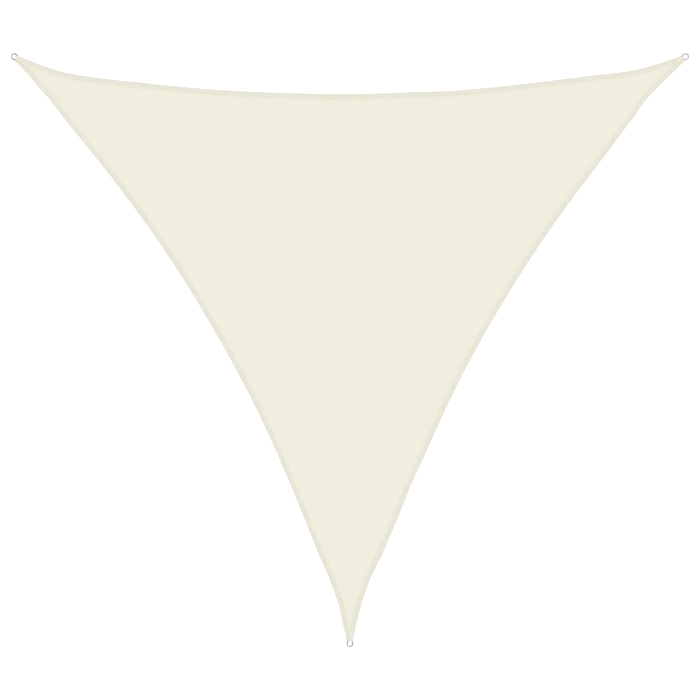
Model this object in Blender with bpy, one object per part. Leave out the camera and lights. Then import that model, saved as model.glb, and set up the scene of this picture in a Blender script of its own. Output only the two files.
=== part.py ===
"""Triangular shade sail, laid out flat with its face up.

The sail is one piece of knitted cloth with three inward-curved edges, each folded over
into a hem.  Every corner ends in a short blunt tip.  A loop of webbing is sewn between
the layers of the tip and holds a steel D-ring, which lies on the ground beside it.

Units are metres.  +Z is up, the ground is z = 0, the top edge runs along +X and the
third corner points to -Y.  The origin is the middle of the part's base.
Run with: blender --background --python part.py
"""

import math
from collections import namedtuple

import bmesh
import bpy
from mathutils import Vector

MM = 0.001

# Overall size, over the steel rings
SPAN = 3.600  # along X, over the two top rings
DEPTH = 3.152  # along Y, from the top rings to the end of the bottom ring

# Cloth
CLOTH_THICK = 1.0 * MM
HEM_WIDTH = 30.0 * MM
HEM_THICK = 2.2 * MM  # two layers and the air in the fold
FOLD_ROUND = 0.8 * MM  # rounding of the folded edge
TIP_ROUND = 4.0 * MM  # rounding of the two shoulders of a tip
GAP = 0.3 * MM  # between pieces that touch

# D-ring
WIRE = 5.0 * MM
RING_WIDTH = 34.0 * MM  # outside
RING_LENGTH = 34.0 * MM  # outside, from the round end to the straight bar
RING_BEND = 4.0 * MM  # centre-line radius where a leg meets the bar
RING_STEPS = 20  # straight pieces round its round end
BEND_STEPS = 4  # and round each bend

# Webbing loop
WEB_WIDTH = 20.0 * MM
WEB_THICK = 1.2 * MM
WEB_JOIN = 7.5 * MM  # from the bar to where the two legs are sewn together
TAIL_END = 54.0 * MM  # from the bar to the sewn-in end
EYE_STEPS = 24  # straight pieces round the bar

# Pocket for the webbing in each tip
POCKET_SIDE = 1.7 * MM  # cloth beside the webbing, along the top of the pocket
POCKET_SLOPE = 3.0 * MM  # width of the slope from the pocket down to the hem
POCKET_LIP = 1.0 * MM  # the pocket's roof starts this far behind the cloth's end

# Sizes that follow from the ones above
RING_R = (RING_WIDTH - WIRE) / 2  # centre-line radius of the round end
BAR_IN = RING_LENGTH - WIRE / 2  # from the ring's outer end to the bar's centre
EYE_R = WIRE / 2 + GAP  # inside of the webbing around the bar
BAR_Z = EYE_R + WEB_THICK  # the webbing under the bar lies on the ground
TAIL_Z = CLOTH_THICK + GAP + WEB_THICK  # middle of the two sewn layers
ROOF_Z = TAIL_Z + WEB_THICK + GAP  # inside of the pocket's roof
HALF_TURN = math.pi

# Corners.  heading: direction from the ring into the cloth, in degrees.
# mouth_mm: from the ring's outer end to the end of the cloth.
# tip_x_mm, tip_y_mm: where two edges would meet, from the centre of the ring's round end.
Corner = namedtuple("Corner", "name side_x side_y heading mouth_mm tip_x_mm tip_y_mm")
CORNERS = {
    corner.name: corner
    for corner in (
        Corner("left", -1, 1, -33.0, 39.5, 10, -8),
        Corner("right", 1, 1, 211.5, 40.0, -3, -7),
        Corner("bottom", 0, -1, 90.0, 39.5, 4, 9),
    )
}

# Edges, named so that going from start to end the cloth is on the left-hand side.
# Each is a fair curve that reaches sag_mm into the sail at mid length, plus a drift.
Edge = namedtuple("Edge", "start end sag_mm drift")
Drift = namedtuple("Drift", "share inward_mm")  # share of the edge's length from start
TOP_DRIFT = (
    Drift(0.00, -22),
    Drift(0.01, -14),
    Drift(0.04, 1),
    Drift(0.08, 11),
    Drift(0.14, 2),
    Drift(0.20, -2),
    Drift(0.30, -1),
    Drift(0.35, 1),
    Drift(0.40, -3),
    Drift(0.50, 0),
    Drift(0.60, 2),
    Drift(0.70, 8),
    Drift(0.80, 13),
    Drift(0.86, 21),
    Drift(0.90, 25),
    Drift(0.93, 24),
    Drift(0.96, 11),
    Drift(0.99, -10),
    Drift(1.00, -18),
)
LEFT_DRIFT = (
    Drift(0.00, -18),
    Drift(0.01, -14),
    Drift(0.03, -12),
    Drift(0.06, -12),
    Drift(0.08, -11),
    Drift(0.12, -16),
    Drift(0.20, -12),
    Drift(0.30, -5),
    Drift(0.40, 0),
    Drift(0.50, 0),
    Drift(0.60, 1),
    Drift(0.70, -3),
    Drift(0.80, -8),
    Drift(0.86, -7),
    Drift(0.90, 0),
    Drift(0.94, 2),
    Drift(0.97, -10),
    Drift(0.99, -17),
    Drift(1.00, -23),
)
RIGHT_DRIFT = (
    Drift(0.00, -14),
    Drift(0.01, -8),
    Drift(0.04, 4),
    Drift(0.09, 9),
    Drift(0.14, -7),
    Drift(0.20, -13),
    Drift(0.25, -9),
    Drift(0.30, -12),
    Drift(0.40, -3),
    Drift(0.50, 0),
    Drift(0.60, 0),
    Drift(0.70, -2),
    Drift(0.80, -7),
    Drift(0.88, 0),
    Drift(0.92, 9),
    Drift(0.97, -3),
    Drift(0.99, -10),
    Drift(1.00, -15),
)
EDGES = (
    Edge("right", "left", 191, TOP_DRIFT),
    Edge("left", "bottom", 193, LEFT_DRIFT),
    Edge("bottom", "right", 195, RIGHT_DRIFT),
)
EDGE_STEPS = 56  # straight pieces along an edge, shorter towards its ends
EDGE_SAMPLES = 400  # places along an edge that distances to it are measured from
SLOPE_SHARE = 0.002  # share of an edge over which its direction is measured
TIP_SHARE = 0.1  # share of an edge in which its tip's end and the hem's end are found
SEARCH_STEPS = 40  # halvings when a place along an edge is searched for

# Colours (linear RGB), roughness and metallic values
CLOTH_LOOK = ((0.88, 0.85, 0.75), 0.85, 0.0)
WEBBING_LOOK = ((0.86, 0.84, 0.74), 0.8, 0.0)
STEEL_LOOK = ((0.62, 0.62, 0.60), 0.25, 1.0)


# ---------------------------------------------------------------- corners and edges


def heading_vector(corner):
    """Unit vector from a corner's ring into the cloth."""
    angle = math.radians(corner.heading)
    return Vector((math.cos(angle), math.sin(angle)))


def round_end_centre(corner):
    """Centre of the round end of the corner's ring: the rings touch the overall box."""
    outer = RING_WIDTH / 2
    return Vector(
        (
            corner.side_x * (SPAN / 2 - outer),
            corner.side_y * (DEPTH / 2 - outer),
        )
    )


def edges_meet(corner):
    """Point where the corner's two edges would meet if the tip weren't blunt."""
    return round_end_centre(corner) + Vector((corner.tip_x_mm, corner.tip_y_mm)) * MM


def along_corner(corner, distance):
    """Point on the corner's centre line, at a distance from its ring's outer end."""
    return round_end_centre(corner) + heading_vector(corner) * (
        distance - RING_WIDTH / 2
    )


def smooth_table(rows, share):
    """Read a drift table at any share, with a smooth curve through its rows."""
    last = len(rows) - 1
    index = 0
    while index < last - 1 and rows[index + 1].share < share:
        index += 1

    def slope(i):
        before, after = rows[max(i - 1, 0)], rows[min(i + 1, last)]
        return (after.inward_mm - before.inward_mm) / (after.share - before.share)

    low, high = rows[index], rows[index + 1]
    width = high.share - low.share
    t = (share - low.share) / width
    return (
        (2 * t**3 - 3 * t**2 + 1) * low.inward_mm
        + (t**3 - 2 * t**2 + t) * width * slope(index)
        + (3 * t**2 - 2 * t**3) * high.inward_mm
        + (t**3 - t**2) * width * slope(index + 1)
    )


def edge_point(edge, share):
    """Point on a cloth edge, at a share of the straight line between its ends."""
    ends = [edges_meet(CORNERS[name]) for name in (edge.start, edge.end)]
    along = ends[1] - ends[0]
    inward = Vector((-along.y, along.x)).normalized()
    fair = 4 * edge.sag_mm * share * (1 - share)
    return ends[0] + along * share + inward * (fair + smooth_table(edge.drift, share)) * MM


def inset_point(edge, share, distance):
    """Point at a distance inside a cloth edge, square to it."""
    low, high = max(share - SLOPE_SHARE, 0), min(share + SLOPE_SHARE, 1)
    along = (edge_point(edge, high) - edge_point(edge, low)).normalized()
    return edge_point(edge, share) + Vector((-along.y, along.x)) * distance


def first_share(test, start, end):
    """Share between start and end where test turns true, found by halving."""
    for _ in range(SEARCH_STEPS):
        middle = (start + end) / 2
        if test(middle):
            end = middle
        else:
            start = middle
    return end


def eased_shares(low, high):
    """Shares from low to high, closer together towards both ends."""
    return [
        low + (high - low) * (1 - math.cos(HALF_TURN * k / EDGE_STEPS)) / 2
        for k in range(EDGE_STEPS + 1)
    ]


def edge_line(edge):
    """Points along an edge, from the blunt end of one tip to that of the next."""

    def in_cloth(share, corner):
        end = along_corner(corner, corner.mouth_mm * MM)
        return (edge_point(edge, share) - end).dot(heading_vector(corner)) > 0

    low = first_share(lambda s: in_cloth(s, CORNERS[edge.start]), 0, TIP_SHARE)
    high = first_share(lambda s: in_cloth(s, CORNERS[edge.end]), 1, 1 - TIP_SHARE)
    return [edge_point(edge, share) for share in eased_shares(low, high)]


def rounded_corner(corner, before, after):
    """Three points that round a corner of the outline."""
    start = corner + (before - corner).normalized() * TIP_ROUND
    end = corner + (after - corner).normalized() * TIP_ROUND
    return [start, (start + end + corner * 2) / 4, end]


def cloth_outline():
    """The sail's outline: three edges joined by the blunt ends of the tips."""
    lines = [edge_line(edge) for edge in EDGES]
    outline = []
    for index, line in enumerate(lines):
        ends = (line[0], line[-1])
        kept = [point for point in line if min_distance(point, ends) > TIP_ROUND]
        outline += rounded_corner(line[0], lines[index - 1][-1], kept[0])
        outline += kept
        outline += rounded_corner(line[-1], kept[-1], lines[(index + 1) % len(lines)][0])
    return outline


def min_distance(point, others):
    """Distance from a point to the nearest of some others."""
    return min((point - other).length for other in others)


def hem_line():
    """Inner edge of the hem: each edge moved in by the hem's width, cut at the tips."""
    line = []
    for index, edge in enumerate(EDGES):
        before, after = (
            [edge_point(other, k / EDGE_SAMPLES) for k in range(EDGE_SAMPLES + 1)]
            for other in (EDGES[index - 1], EDGES[(index + 1) % len(EDGES)])
        )

        def clear_of(share, neighbour, edge=edge):
            point = inset_point(edge, share, HEM_WIDTH)
            return min_distance(point, neighbour) > HEM_WIDTH

        low = first_share(lambda s: clear_of(s, before), 0, TIP_SHARE)
        high = first_share(lambda s: clear_of(s, after), 1, 1 - TIP_SHARE)
        shares = eased_shares(low, high)[:-1]  # the next edge starts on the last point
        line += [inset_point(edge, share, HEM_WIDTH) for share in shares]
    return line


def drawn_in(loop, distance):
    """A closed line of points, moved inwards by a small distance."""
    moved = []
    for index, point in enumerate(loop):
        along = (loop[(index + 1) % len(loop)] - loop[index - 1]).normalized()
        moved.append(point + Vector((-along.y, along.x)) * distance)
    return moved


# ---------------------------------------------------------------- Blender helpers


def clear_scene():
    for thing in list(bpy.data.objects):
        bpy.data.objects.remove(thing, do_unlink=True)


def new_collection(name):
    collection = bpy.data.collections.new(name)
    bpy.context.scene.collection.children.link(collection)
    return collection


def new_material(name, look):
    colour, roughness, metallic = look
    material = bpy.data.materials.new(name)
    material.use_nodes = True
    shader = material.node_tree.nodes["Principled BSDF"]
    shader.inputs["Base Color"].default_value = (*colour, 1)
    shader.inputs["Roughness"].default_value = roughness
    shader.inputs["Metallic"].default_value = metallic
    return material


def new_object(name, data, collection, material=None):
    thing = bpy.data.objects.new(name, data)
    collection.objects.link(thing)
    if material is not None:
        data.materials.append(material)
    return thing


def point_ring(bm, points, z):
    """Closed ring of edges through flat points at height z."""
    verts = [bm.verts.new((p.x, p.y, z)) for p in points]
    edges = [bm.edges.new((verts[i - 1], verts[i])) for i in range(len(verts))]
    return verts, edges


def wall(bm, lower, upper):
    """Faces between two rings with the same number of points."""
    low, high = lower[0], upper[0]
    for i in range(len(low)):
        bm.faces.new((low[i - 1], low[i], high[i], high[i - 1]))


def flat_fill(bm, *rings):
    """Triangles that fill a flat ring, or the band between two."""
    edges = [edge for ring in rings for edge in ring[1]]
    bmesh.ops.triangle_fill(bm, edges=edges, use_beauty=True)


def closed_line(curve, points):
    """Add a closed straight-sided spline to a curve."""
    spline = curve.splines.new("POLY")
    spline.points.add(len(points) - 1)
    for target, (x, y) in zip(spline.points, points):
        target.co = (x, y, 0, 1)
    spline.use_cyclic_u = True


def arc(centre_x, centre_y, radius, start, end, steps):
    """Points along an arc, angles in radians, both ends included."""
    angles = [start + (end - start) * k / steps for k in range(steps + 1)]
    return [
        (centre_x + radius * math.cos(a), centre_y + radius * math.sin(a)) for a in angles
    ]


# ---------------------------------------------------------------- the sail


def make_sail(collection, cutters, material):
    """Cloth with its folded hem, and a pocket for the webbing in each tip."""
    outline, inner = cloth_outline(), hem_line()
    bm = bmesh.new()
    base = point_ring(bm, outline, 0)
    side = point_ring(bm, outline, HEM_THICK - FOLD_ROUND)
    fold = point_ring(bm, drawn_in(outline, FOLD_ROUND), HEM_THICK)
    hem_top = point_ring(bm, inner, HEM_THICK)
    hem_foot = point_ring(bm, inner, CLOTH_THICK)
    wall(bm, base, side)
    wall(bm, side, fold)
    wall(bm, hem_top, hem_foot)
    flat_fill(bm, base)
    flat_fill(bm, fold, hem_top)
    flat_fill(bm, hem_foot)
    bmesh.ops.recalc_face_normals(bm, faces=bm.faces)
    mesh = bpy.data.meshes.new("sail")
    bm.to_mesh(mesh)
    bm.free()
    sail = new_object("sail", mesh, collection, material)
    for corner in CORNERS.values():
        for operation, cutter in (
            ("UNION", pocket_block(corner, cutters)),
            ("DIFFERENCE", pocket_hollow(corner, cutters)),
        ):
            cut = sail.modifiers.new(cutter.name, "BOOLEAN")
            cut.operation = operation
            cut.object = cutter
    return sail


def corner_box(name, corner, cutters, low, high, taper=(0, 0)):
    """Box in a corner's own directions, its top drawn in by taper at the end and sides.

    low and high are (distance from the ring's outer end, sideways, up).
    """
    bm = bmesh.new()
    bmesh.ops.create_cube(bm, size=1)
    for vert in bm.verts:
        near = Vector(low[axis] if vert.co[axis] < 0 else high[axis] for axis in range(3))
        if vert.co.z > 0:
            near.y -= math.copysign(taper[1], near.y)
            if vert.co.x > 0:
                near.x -= taper[0]
        vert.co = near
    mesh = bpy.data.meshes.new(name)
    bm.to_mesh(mesh)
    bm.free()
    box = new_object(name, mesh, cutters)
    box.location = (*along_corner(corner, 0), 0)
    box.rotation_euler = (0, 0, math.radians(corner.heading))
    box.hide_render = True
    box.display_type = "WIRE"
    return box


def pocket_block(corner, cutters):
    """The raised cloth around the webbing's tail."""
    half = WEB_WIDTH / 2 + GAP + POCKET_SIDE + POCKET_SLOPE
    end = BAR_IN + TAIL_END + GAP + POCKET_SIDE + POCKET_SLOPE
    return corner_box(
        f"pocket_{corner.name}",
        corner,
        cutters,
        (corner.mouth_mm * MM + POCKET_LIP, -half, CLOTH_THICK / 2),
        (end, half, ROOF_Z + CLOTH_THICK),
        (POCKET_SLOPE, POCKET_SLOPE),
    )


def pocket_hollow(corner, cutters):
    """The space that the webbing's tail lies in, open at the end of the tip."""
    half = WEB_WIDTH / 2 + GAP
    return corner_box(
        f"hollow_{corner.name}",
        corner,
        cutters,
        (corner.mouth_mm * MM - POCKET_LIP, -half, CLOTH_THICK),
        (BAR_IN + TAIL_END + GAP, half, ROOF_Z),
    )


# ---------------------------------------------------------------- webbing and rings


def corner_frame(corner, collection):
    """Empty at the middle of a ring's bar, with its X axis pointing into the cloth."""
    empty = new_object(f"corner_{corner.name}", None, collection)
    empty.location = (*along_corner(corner, BAR_IN), BAR_Z)
    empty.rotation_euler = (0, 0, math.radians(corner.heading))
    return empty


def tangent_angles(x, y, radius):
    """Angles at which lines from a point touch a circle around the origin."""
    towards = math.atan2(y, x)
    spread = math.acos(radius / math.hypot(x, y))
    return towards + spread, towards - spread


def make_loop_curve():
    """Side view of the webbing: an eye around the bar and two layers sewn together."""
    tail = TAIL_Z - BAR_Z
    top, under = tail + WEB_THICK, tail - WEB_THICK
    outer_r = EYE_R + WEB_THICK
    upper = tangent_angles(WEB_JOIN, top, outer_r)[0]
    lower = tangent_angles(WEB_JOIN, under, outer_r)[1]
    outside = arc(0, 0, outer_r, upper, lower + 2 * HALF_TURN, EYE_STEPS)
    outside += [(WEB_JOIN, under), (TAIL_END, under), (TAIL_END, top), (WEB_JOIN, top)]
    upper, lower = tangent_angles(WEB_JOIN, tail, EYE_R)
    inside = arc(0, 0, EYE_R, upper, lower + 2 * HALF_TURN, EYE_STEPS) + [(WEB_JOIN, tail)]
    curve = bpy.data.curves.new("loop", "CURVE")
    curve.dimensions = "2D"
    curve.fill_mode = "BOTH"
    curve.extrude = WEB_WIDTH / 2
    closed_line(curve, outside)
    closed_line(curve, inside)
    return curve


def make_ring_curve():
    """Centre line of a D-ring: straight bar at x = 0 and round end at negative x."""
    centre = RING_R + WIRE / 2 - BAR_IN
    bend = RING_R - RING_BEND
    route = arc(centre, 0, RING_R, HALF_TURN / 2, 3 * HALF_TURN / 2, RING_STEPS)
    route += arc(-RING_BEND, -bend, RING_BEND, -HALF_TURN / 2, 0, BEND_STEPS)
    route += arc(-RING_BEND, bend, RING_BEND, 0, HALF_TURN / 2, BEND_STEPS)
    curve = bpy.data.curves.new("ring", "CURVE")
    curve.dimensions = "3D"
    curve.bevel_depth = WIRE / 2
    curve.bevel_resolution = 4
    closed_line(curve, route)
    return curve


def make_corner(corner, collection, loop_curve, ring_curve):
    """One webbing loop and one ring, placed in the corner's own frame."""
    frame = corner_frame(corner, collection)
    loop = new_object(f"loop_{corner.name}", loop_curve, collection)
    loop.parent = frame
    loop.rotation_euler = (HALF_TURN / 2, 0, 0)
    ring = new_object(f"ring_{corner.name}", ring_curve, collection)
    ring.parent = frame
    # the ring leans down from its bar until the round end lies on the ground
    ring.rotation_euler = (0, -math.asin((BAR_Z - WIRE / 2) / (BAR_IN - WIRE / 2)), 0)


def main():
    clear_scene()
    parts = new_collection("shade_sail")
    cutters = new_collection("cutters")
    make_sail(parts, cutters, new_material("cloth", CLOTH_LOOK))
    loop_curve, ring_curve = make_loop_curve(), make_ring_curve()
    loop_curve.materials.append(new_material("webbing", WEBBING_LOOK))
    ring_curve.materials.append(new_material("steel", STEEL_LOOK))
    for corner in CORNERS.values():
        make_corner(corner, parts, loop_curve, ring_curve)


main()
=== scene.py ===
"""Triangular shade sail, finished: knitted cloth, folded hems, stitching, webbing and D-rings.

The sail lies flat on a pale floor with its face up.  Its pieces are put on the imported
model: the cloth is one thin sheet folded over along its three edges, the hems are sewn
with two rows of thread, and each corner holds a steel D-ring in a loop of webbing.

Units are metres, +Z is up, and the camera looks straight down with +Y at the top.
"""

import math
from collections import namedtuple

import bmesh
import bpy
import numpy as np
from bpy.props import FloatProperty, FloatVectorProperty, PointerProperty
from mathutils import Matrix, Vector
from mathutils.kdtree import KDTree


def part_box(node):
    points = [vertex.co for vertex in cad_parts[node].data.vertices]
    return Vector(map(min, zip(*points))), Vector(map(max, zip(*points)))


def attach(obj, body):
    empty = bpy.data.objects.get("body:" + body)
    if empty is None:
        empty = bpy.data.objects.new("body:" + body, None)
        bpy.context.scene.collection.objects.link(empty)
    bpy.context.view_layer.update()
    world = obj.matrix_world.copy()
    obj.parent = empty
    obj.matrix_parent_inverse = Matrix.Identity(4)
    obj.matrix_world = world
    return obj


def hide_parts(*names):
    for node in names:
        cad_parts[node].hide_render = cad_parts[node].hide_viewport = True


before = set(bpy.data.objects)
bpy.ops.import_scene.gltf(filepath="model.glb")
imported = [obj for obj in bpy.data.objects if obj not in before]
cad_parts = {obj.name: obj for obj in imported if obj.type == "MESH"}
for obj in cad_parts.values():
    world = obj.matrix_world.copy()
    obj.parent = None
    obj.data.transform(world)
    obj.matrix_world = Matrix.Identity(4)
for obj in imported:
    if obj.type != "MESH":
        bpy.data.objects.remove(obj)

bl_info = {
    "name": "Shade Sail",
    "version": (1, 0, 0),
    "blender": (4, 5, 0),
    "location": "3D View > Sidebar > Shade Sail",
    "description": "Dresses a triangular shade sail: cloth, hems, stitching, webbing, rings",
    "category": "Object",
}

MM = 0.001
TURN = 2 * math.pi
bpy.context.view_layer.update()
BODY = "root"
CLOTH = "sail_cloth"

# ------------------------------ the sail's plan

# Corners.  side_x, side_y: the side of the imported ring's box that its round end is on.
# heading: direction from the ring into the cloth, in degrees.
# mouth_mm: from the ring's outer end to the end of the cloth.
# tip_x_mm, tip_y_mm: where two edges would meet, from the centre of the ring's round end.
Corner = namedtuple("Corner", "name side_x side_y heading mouth_mm tip_x_mm tip_y_mm")
CORNERS = {
    corner.name: corner
    for corner in (
        Corner("left", -1, 1, -33.0, 39.5, 10, -8),
        Corner("right", 1, 1, 211.5, 40.0, -3, -7),
        Corner("bottom", 0, -1, 90.0, 39.5, 4, 9),
    )
}

# Edges, in the order in which they are hemmed.  Going from start to end the cloth is on
# the left.  Each is a fair curve that reaches sag_mm into the sail at mid length, plus
# a drift.
Edge = namedtuple("Edge", "name start end sag_mm drift")
Drift = namedtuple("Drift", "share inward_mm")  # share of the edge's length from start
TOP_DRIFT = (
    Drift(0.00, -22), Drift(0.01, -14), Drift(0.04, 1), Drift(0.08, 11), Drift(0.14, 2),
    Drift(0.20, -2), Drift(0.30, -1), Drift(0.35, 1), Drift(0.40, -3), Drift(0.50, 0),
    Drift(0.60, 2), Drift(0.70, 8), Drift(0.80, 13), Drift(0.86, 21), Drift(0.90, 25),
    Drift(0.93, 24), Drift(0.96, 11), Drift(0.99, -10), Drift(1.00, -18),
)
LEFT_DRIFT = (
    Drift(0.00, -18), Drift(0.01, -14), Drift(0.03, -12), Drift(0.06, -12), Drift(0.08, -11),
    Drift(0.12, -16), Drift(0.20, -12), Drift(0.30, -5), Drift(0.40, 0), Drift(0.50, 0),
    Drift(0.60, 1), Drift(0.70, -3), Drift(0.80, -8), Drift(0.86, -7), Drift(0.90, 0),
    Drift(0.94, 2), Drift(0.97, -10), Drift(0.99, -17), Drift(1.00, -23),
)
RIGHT_DRIFT = (
    Drift(0.00, -14), Drift(0.01, -8), Drift(0.04, 4), Drift(0.09, 9), Drift(0.14, -7),
    Drift(0.20, -13), Drift(0.25, -9), Drift(0.30, -12), Drift(0.40, -3), Drift(0.50, 0),
    Drift(0.60, 0), Drift(0.70, -2), Drift(0.80, -7), Drift(0.88, 0), Drift(0.92, 9),
    Drift(0.97, -3), Drift(0.99, -10), Drift(1.00, -15),
)
EDGES = (
    Edge("top", "right", "left", 191, TOP_DRIFT),
    Edge("left", "left", "bottom", 193, LEFT_DRIFT),
    Edge("right", "bottom", "right", 195, RIGHT_DRIFT),
)
SLOPE_SHARE = 0.002  # share of an edge over which its direction is measured
TIP_SHARE = 0.1  # share of an edge in which its tip's end and the hem's end are found
SEARCH_STEPS = 40  # halvings when a place along an edge is searched for
EDGE_SAMPLES = 1600  # places along an edge that distances to it are measured from
TIP_ROUND = 4 * MM  # rounding of the two shoulders of a tip
TIP_BULGE = 1 * MM  # how far the middle of a tip's end stands out between them
SHOULDER_POWER = 4  # how close to the tip's end a shoulder starts

# How finely the cloth is divided
PANEL_STEPS = 208  # along each edge between the tips, and so over the whole panel
TIP_STEPS = 18  # along an edge in a tip
HALF_STEPS = 6  # across the base layer under a hem
FOLD_STEPS = 5  # round the fold
END_CLOSENESS = 0.6  # how much closer together the steps are near the tips
WELD = 0.04 * MM  # points closer than this are one

# Rows of points over the hem's upper layer, from the fold: closer at the rows of stitches
HEM_PLACES_MM = (2.2, 3.8, 5.6, 7.4, 9.0, 10.6, 12.4, 15.0, 18.0, 20.4, 22.0, 23.6, 26.0, 28.4, 29.7)

# How the hem lies over what is under it
GAP = 0.3 * MM  # between pieces that touch
POCKET_SLOPE = 5 * MM  # width of the slope beside the webbing's tail
OVERLAP_SLOPE = 3.5 * MM  # width of the slope where one hem runs onto another
GROOVE = 0.22 * MM  # how deep a row of stitches sits in the hem
GROOVE_WIDTH = 1.5 * MM

# One stitch, in threads: its ends dive under the cloth's face
STITCH_SIDES = 5
STITCH_SECTIONS = 5
STITCH_RISE = 0.28  # how high its middle stands
STITCH_DIVE = 0.75  # how far its ends go down from there
STITCH_TAPER = 0.45  # share by which its ends are thinner
STITCH_POWER = 4  # how close to its ends it dives and gets thinner
STITCH_SKEW = math.radians(2.5)  # how unevenly the stitches lie
CORNER_STITCH = 0.8  # length of a corner's stitches, as a share of the hem's
BOX_MARGIN = 5 * MM  # between the box of stitches in a tip and the ends of cloth and webbing
BOX_SIDE = 2 * MM  # between the box and the webbing's sides

# Webbing and rings.  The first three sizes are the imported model's.
WEB_JOIN = 7.5 * MM  # from the bar to where the two legs are sewn together
TAIL_END = 54 * MM  # from the bar to the sewn-in end
RING_BEND = 4 * MM  # centre-line radius where a leg meets the bar
EYE_STEPS = 60  # round the bar
WEB_STEP = 0.45 * MM  # along the webbing
WEB_SOFTENINGS = 6  # passes that soften the kinks where its legs come together
WEB_POINTS = 19  # across one face of the webbing
WEB_SQUARE = 7  # power of the webbing's section: how square its sides are
RIB_DEPTH = 0.07  # of the webbing's ribs, as a share of its thickness
RIB_SLANT = 2.5  # ribs that one rib runs past between the middle and the side
RING_STEPS = 72  # round a ring's round end
BEND_STEPS = 10  # round each of its two small bends
WIRE_SIDES = 20

# The knit: chains of loops run along Y, with slanting flat tapes between them
CHAIN_PITCH = 2.6 * MM
CHAIN_SIDE = (0.3 * MM, 0.8 * MM)  # from a chain's middle to where it ends
LOOP_PITCH = 2.2 * MM
LOOP_SLANT = 0.9  # how steeply the loops run down from a chain's middle
TAPE_PITCH = 3.3 * MM
TAPE_SLANT = 0.5  # and the tapes from one side to the other

# Where the cloth's colour changes and where shade is painted on it, measured in from the fold
# Painted shade of the rounded fold: full out to the first size, fading out by the second
FOLD_SHADE_TONE = (5 * MM, 17 * MM)
HEM_TONE = (20 * MM, 34 * MM)
BESIDE_TONE = (32 * MM, 86 * MM)
# Painted shade in the groove of a row of stitches: full near the row's middle, fading out by 3 mm
# from it
ROW_SHADE = (0.6 * MM, 3 * MM)  # from the middle of a row of stitches

# The webbing's colour
YARN_PITCH = 0.8 * MM
WEB_SIDE = (8.2 * MM, 9.8 * MM)  # from the webbing's middle to where its sides are darker

# Width of the soft random spots in the finishes
PUCKER_SPOTS = 18 * MM  # of the sewn hem
BROAD_SPOTS = 450 * MM  # of the cloth
CLOUDY_SPOTS = 38 * MM
TWIST_SPOTS = 0.55 * MM  # of the thread
WORN_SPOTS = 4.5 * MM  # of the webbing
RUBBED_SPOTS = 7 * MM  # of the steel
SCRATCH_SPOTS = 1.1 * MM
SCRATCH_SQUEEZE = (1, 1, 6)  # flattens them in height, to streaks along the wire's sides

# Sines of the heights above the horizon between which the sky darkens
HORIZON_BAND = (0.1, 0.3)
CAMERA_OFFSET = (0, 0.5 * MM)  # of the camera from the sail's origin, in X and Y
CAMERA_REACH = 100  # how far the camera sees

# Creases of the panel: middle, direction in degrees, length, width and height.
# They are as faint as the cloth is taut.
Crease = namedtuple("Crease", "x y heading length width height_mm")
CREASES = (
    Crease(-0.27, 0.520, -17, 0.36, 0.050, 1.2),
    Crease(0.11, 0.185, -24, 0.42, 0.055, 1.3),
    Crease(-0.33, 0.205, -16, 0.28, 0.045, 0.8),
    Crease(-0.55, 1.000, -2, 0.90, 0.060, 0.9),
    Crease(0.62, 0.985, 1, 0.70, 0.055, 0.8),
    Crease(-0.72, 0.850, -4, 0.50, 0.050, 0.7),
    Crease(0.05, 0.930, 0, 0.60, 0.045, 0.7),
    Crease(-0.27, -0.430, -68, 0.34, 0.050, 0.8),
    Crease(0.21, -0.470, 76, 0.30, 0.045, 0.9),
    Crease(0.20, -0.830, 64, 0.36, 0.060, 1.4),
    Crease(0.40, -0.190, 58, 0.34, 0.070, 1.4),
    Crease(0.66, 0.190, 52, 0.36, 0.075, 1.5),
    Crease(0.86, 0.530, 30, 0.34, 0.075, 1.4),
    Crease(1.12, 0.800, 46, 0.30, 0.060, 1.2),
    Crease(-0.44, -0.120, -57, 0.34, 0.050, 1.0),
    Crease(-0.93, 0.700, -52, 0.40, 0.050, 1.0),
    Crease(-0.08, 1.180, 2, 0.50, 0.040, 0.8),
)
# Pulls that run from each ring into the panel: turn from the corner's heading, where the
# pull starts and how long it is, its width and its height.
Pull = namedtuple("Pull", "turn start length width height_mm")
PULLS = (
    Pull(-7.0, 0.10, 0.55, 0.026, 1.2),
    Pull(0.5, 0.08, 0.80, 0.030, 1.5),
    Pull(6.5, 0.14, 0.48, 0.024, 1.0),
)
RUN_OUT = 2.4  # how quickly a crease or pull runs out towards its ends
FALL_OFF = 2  # and how quickly it falls off towards its sides
# Waves of the hem, from the sewing: length along the edge, height, and turn at its start
Wave = namedtuple("Wave", "length height_mm start")
WAVES = (Wave(0.093, 0.22, 0.1), Wave(0.147, 0.30, 0.5), Wave(0.261, 0.35, 0.8))
WAVE_REACH = 0.07  # how far the waves run into the panel
FLAT_REACH = 0.05  # cloth next to a ring lies flat this far, measured from the cloth's end
FLAT_EASE = 0.20  # and is fully free this much further in


# ------------------------------ sizes and colours


def size(name, description, default):
    """A length that a user may change."""
    return FloatProperty(
        name=name, description=description, default=default, min=0, precision=5, unit="LENGTH"
    )


def angle(name, description, degrees):
    """An angle that a user may change."""
    return FloatProperty(
        name=name, description=description, default=math.radians(degrees), subtype="ANGLE"
    )


def amount(name, description, default):
    """A share or a strength that a user may change."""
    return FloatProperty(name=name, description=description, default=default, min=0)


def colour(name, description, default):
    """A colour that a user may change, in linear light."""
    return FloatVectorProperty(
        name=name, description=description, default=default, size=3, min=0, max=1, subtype="COLOR"
    )


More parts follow.
